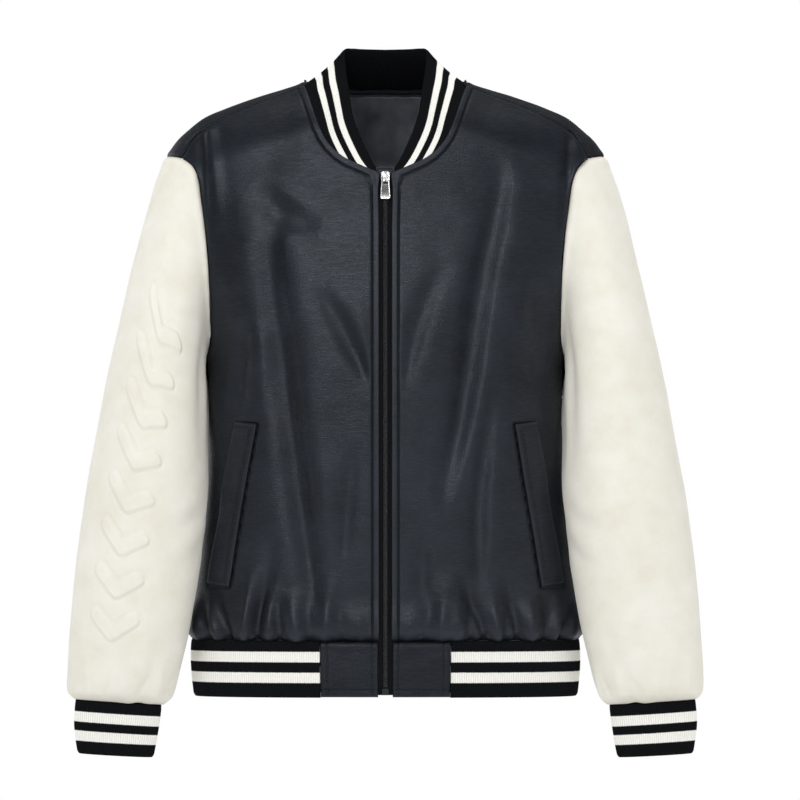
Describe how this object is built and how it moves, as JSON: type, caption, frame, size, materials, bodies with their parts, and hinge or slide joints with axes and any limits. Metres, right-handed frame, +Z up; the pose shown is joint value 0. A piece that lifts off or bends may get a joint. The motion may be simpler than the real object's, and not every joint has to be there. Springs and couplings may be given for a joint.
{
  "type": "varsity jacket",
  "caption": "Zip-front varsity jacket, filled out as worn: dark leatherette body, cream sleeves, striped rib-knit collar, cuffs and hem, slanted welt pockets.",
  "frame": {"origin": "between the two side neck points, where the collar meets the shoulder ridges: where the wearer's shoulders hold it", "axes": "+Z up, -Y the way the jacket faces, +X towards the wearer's left"},
  "size_m": [0.699, 0.239, 0.7829],
  "materials": {
    "body_leather": "satin",
    "sleeve_leather": "matte",
    "rib_knit": "matte",
    "lining": "satin",
    "zip_tape": "matte",
    "zip_teeth": "semi-matte",
    "zip_metal": "polished nickel"
  },
  "bodies": {
    "jacket": {"front_left": "body_leather", "front_right": "body_leather", "back": "body_leather", "back_lining": "lining", "neck_tape": "body_leather", "collar": "rib_knit", "sleeve_left": "sleeve_leather", "sleeve_right": "sleeve_leather", "cuff_left": "rib_knit", "cuff_right": "rib_knit", "welt_left": "body_leather", "welt_right": "body_leather", "hem_rib": "rib_knit", "hem_tab_left": "body_leather", "hem_tab_right": "body_leather", "zip_guard": "body_leather", "zip_tape_left": "zip_tape", "zip_tape_right": "zip_tape", "zip_chain": "zip_teeth", "zip_slider": "zip_metal", "zip_box": "zip_teeth"},
    "zip_pull": {"zip_pull": "zip_metal"}
  },
  "joints": [
    {"name": "zip_pull_swing", "type": "hinge", "parent": "jacket", "child": "zip_pull", "pos_m": [0, -0.1057, -0.10552], "axis": [-1, 0, 0], "range_deg": [0, 150]}
  ]
}
